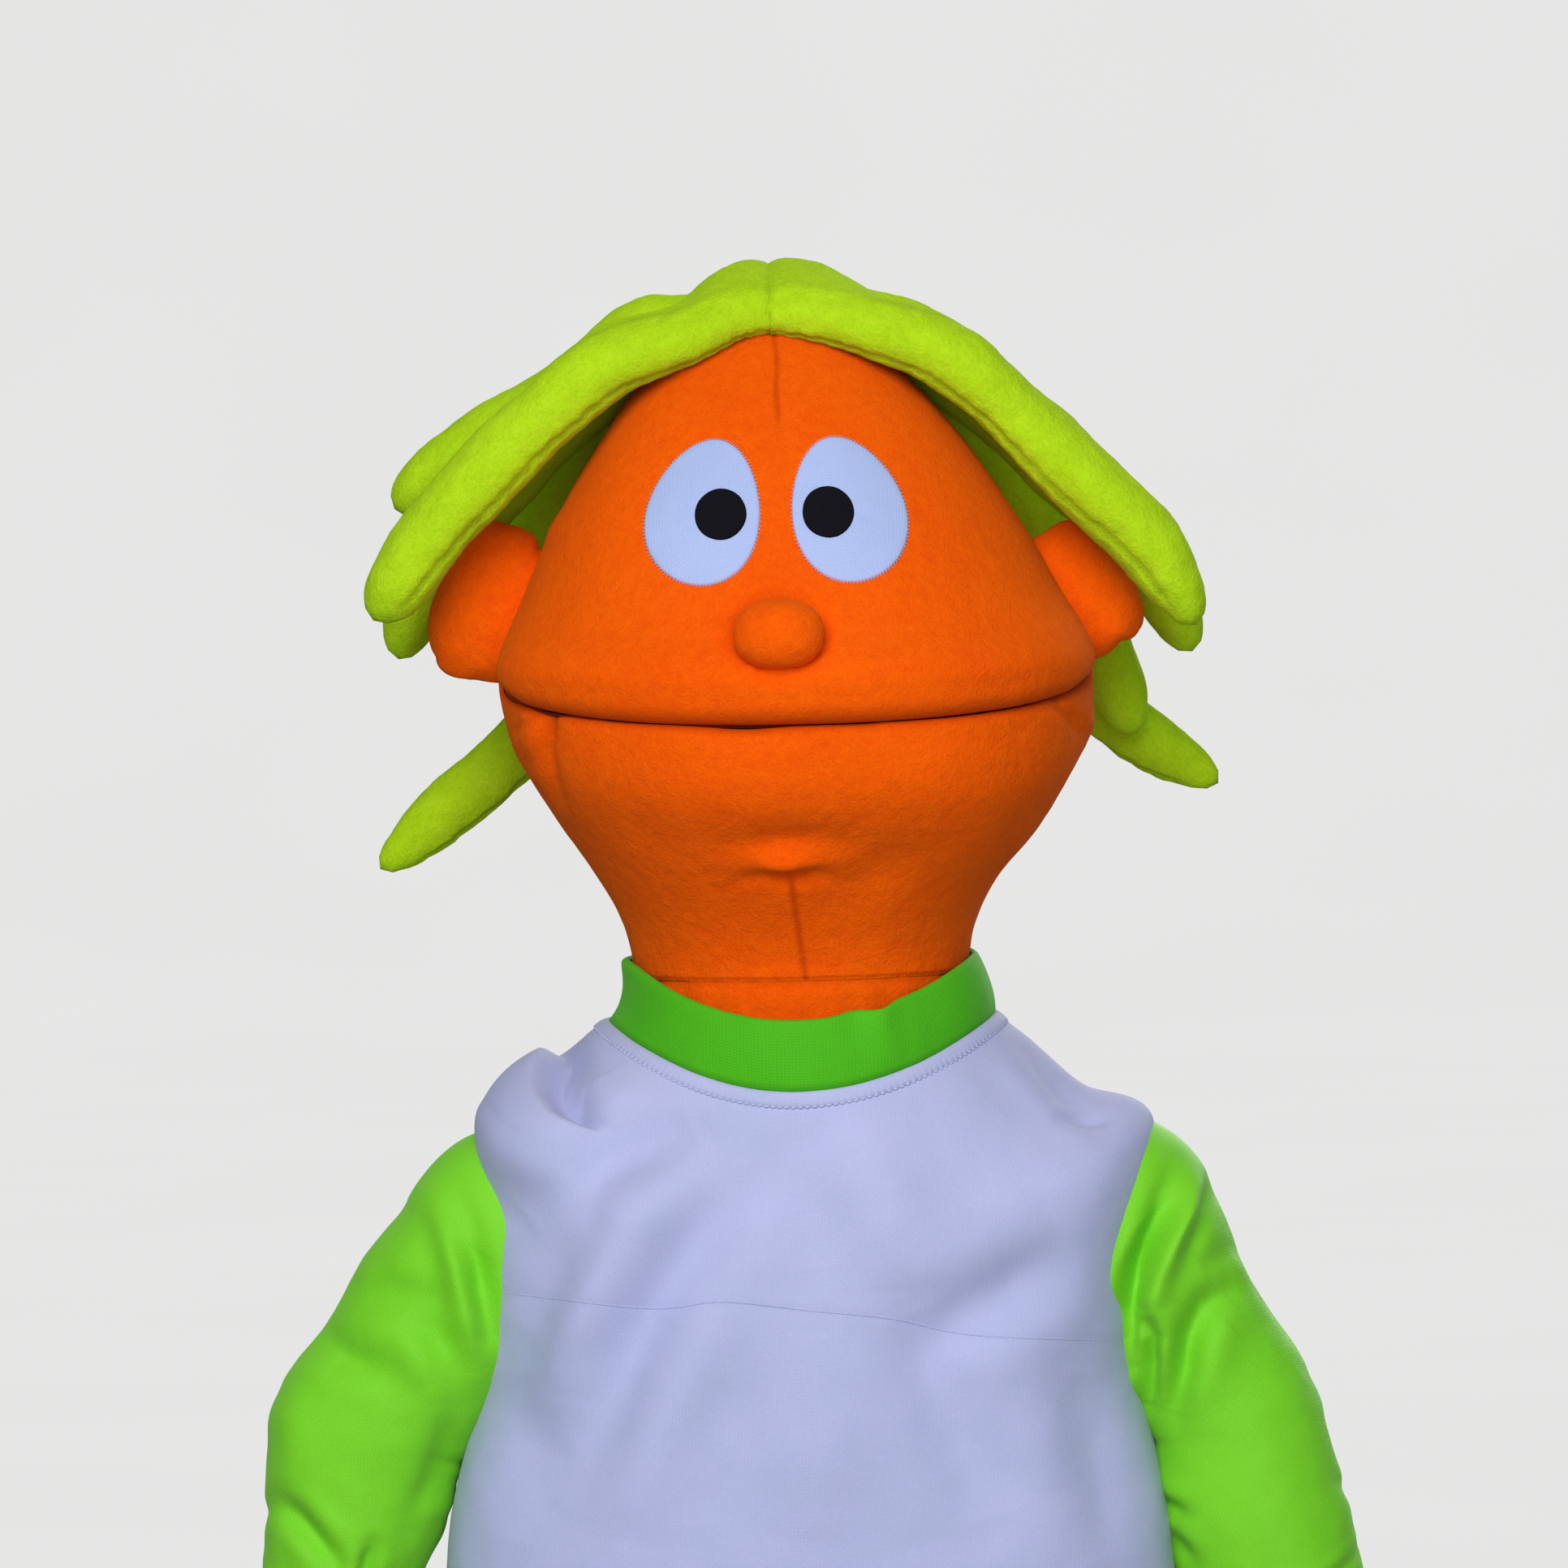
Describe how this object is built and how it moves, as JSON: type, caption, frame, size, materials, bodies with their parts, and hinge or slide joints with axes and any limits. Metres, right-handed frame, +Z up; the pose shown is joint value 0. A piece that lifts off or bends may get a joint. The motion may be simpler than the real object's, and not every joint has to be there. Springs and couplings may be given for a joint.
{
  "type": "moving-mouth hand puppet",
  "caption": "Half-body fleece hand puppet with a hinged mouth, stuffed hair locks, knitted shirt and jointed stuffed arms, worked by a hand from below.",
  "frame": {"origin": "centre of the hand opening, in the plane of the shirt hem", "axes": "+Z up through the body to the head, -Y the way the puppet faces, +X to the puppet's own left"},
  "size_m": [0.4546, 0.2619, 0.6421],
  "materials": {
    "orange_fleece": "brushed fleece",
    "hair_fleece": "brushed fleece",
    "collar_knit": "fine knit",
    "sleeve_knit": "fine knit",
    "shirt_cloth": "smooth double knit",
    "eye_felt": "knit",
    "pupil_felt": "felt",
    "mouth_felt": "felt",
    "head_foam": "foam",
    "mouth_board": "matt board",
    "tape": "woven tape"
  },
  "bodies": {
    "torso": {"body_lining": "orange_fleece", "shirt_yoke": "shirt_cloth", "shirt_front": "shirt_cloth", "shirt_back": "shirt_cloth", "collar": "collar_knit", "left_arm_tab": "orange_fleece", "right_arm_tab": "orange_fleece"},
    "neck": {"neck_tube": "orange_fleece"},
    "head": {"head_skin": "orange_fleece", "head_foam": "head_foam", "upper_mouth_lining": "mouth_felt", "upper_mouth_plate": "mouth_board", "finger_strap": "tape", "mouth_hinge_tape": "tape", "nose": "orange_fleece", "left_eye_white": "eye_felt", "right_eye_white": "eye_felt", "left_pupil": "pupil_felt", "right_pupil": "pupil_felt", "left_ear": "orange_fleece", "right_ear": "orange_fleece", "hair_part_strip": "hair_fleece", "left_lock_4": "hair_fleece", "left_lock_5": "hair_fleece", "left_lock_6": "hair_fleece", "left_lock_7": "hair_fleece", "right_lock_4": "hair_fleece", "right_lock_5": "hair_fleece", "right_lock_6": "hair_fleece", "right_lock_7": "hair_fleece", "throat_skin": "orange_fleece"},
    "jaw": {"jaw_skin": "orange_fleece", "lower_mouth_lining": "mouth_felt", "lower_mouth_plate": "mouth_board", "thumb_strap": "tape"},
    "left_hair": {"left_lock_1": "hair_fleece", "left_lock_2": "hair_fleece", "left_lock_3": "hair_fleece"},
    "right_hair": {"right_lock_1": "hair_fleece", "right_lock_2": "hair_fleece", "right_lock_3": "hair_fleece"},
    "left_shoulder": {"left_shoulder_knot": "orange_fleece"},
    "left_arm": {"left_upper_arm": "orange_fleece", "left_sleeve_upper": "sleeve_knit"},
    "left_lower_arm": {"left_forearm": "orange_fleece", "left_sleeve_lower": "sleeve_knit", "left_hand": "orange_fleece"},
    "right_shoulder": {"right_shoulder_knot": "orange_fleece"},
    "right_arm": {"right_upper_arm": "orange_fleece", "right_sleeve_upper": "sleeve_knit"},
    "right_lower_arm": {"right_forearm": "orange_fleece", "right_sleeve_lower": "sleeve_knit", "right_hand": "orange_fleece"}
  },
  "joints": [
    {"name": "head_turn", "type": "hinge", "parent": "torso", "child": "neck", "pos_m": [0, 0, 0.365], "axis": [0, 0, 1], "range_deg": [-40, 40], "stiffness_Nm_per_rad": 0.2},
    {"name": "head_nod", "type": "hinge", "parent": "neck", "child": "head", "pos_m": [0, 0, 0.365], "axis": [1, 0, 0], "range_deg": [-12, 15], "stiffness_Nm_per_rad": 1.5},
    {"name": "mouth", "type": "hinge", "parent": "head", "child": "jaw", "pos_m": [0, 0.025, 0.482], "axis": [1, 0, 0], "range_deg": [0, 24], "stiffness_Nm_per_rad": 0.3, "springref_deg": -22.92, "deforming": ["throat_skin"]},
    {"name": "left_hair_lift", "type": "hinge", "parent": "head", "child": "left_hair", "pos_m": [0.0025, 0, 0.641], "axis": [0, -1, 0], "range_deg": [0, 35]},
    {"name": "right_hair_lift", "type": "hinge", "parent": "head", "child": "right_hair", "pos_m": [-0.0025, 0, 0.641], "axis": [0, 1, 0], "range_deg": [0, 35]},
    {"name": "left_shoulder_raise", "type": "hinge", "parent": "torso", "child": "left_shoulder", "pos_m": [0.125, 0, 0.258], "axis": [0, -1, 0], "range_deg": [0, 70], "deforming": ["left_sleeve_upper"]},
    {"name": "left_shoulder_swing", "type": "hinge", "parent": "left_shoulder", "child": "left_arm", "pos_m": [0.125, 0, 0.258], "axis": [-0.848, 0, -0.5299], "range_deg": [-20, 70]},
    {"name": "left_elbow", "type": "hinge", "parent": "left_arm", "child": "left_lower_arm", "pos_m": [0.17269, 0, 0.18168], "axis": [-1, 0, 0], "range_deg": [0, 80]},
    {"name": "right_shoulder_raise", "type": "hinge", "parent": "torso", "child": "right_shoulder", "pos_m": [-0.125, 0, 0.258], "axis": [0, 1, 0], "range_deg": [0, 70], "deforming": ["right_sleeve_upper"]},
    {"name": "right_shoulder_swing", "type": "hinge", "parent": "right_shoulder", "child": "right_arm", "pos_m": [-0.125, 0, 0.258], "axis": [-0.848, 0, 0.5299], "range_deg": [-20, 70]},
    {"name": "right_elbow", "type": "hinge", "parent": "right_arm", "child": "right_lower_arm", "pos_m": [-0.17269, 0, 0.18168], "axis": [-1, 0, 0], "range_deg": [0, 80]}
  ]
}
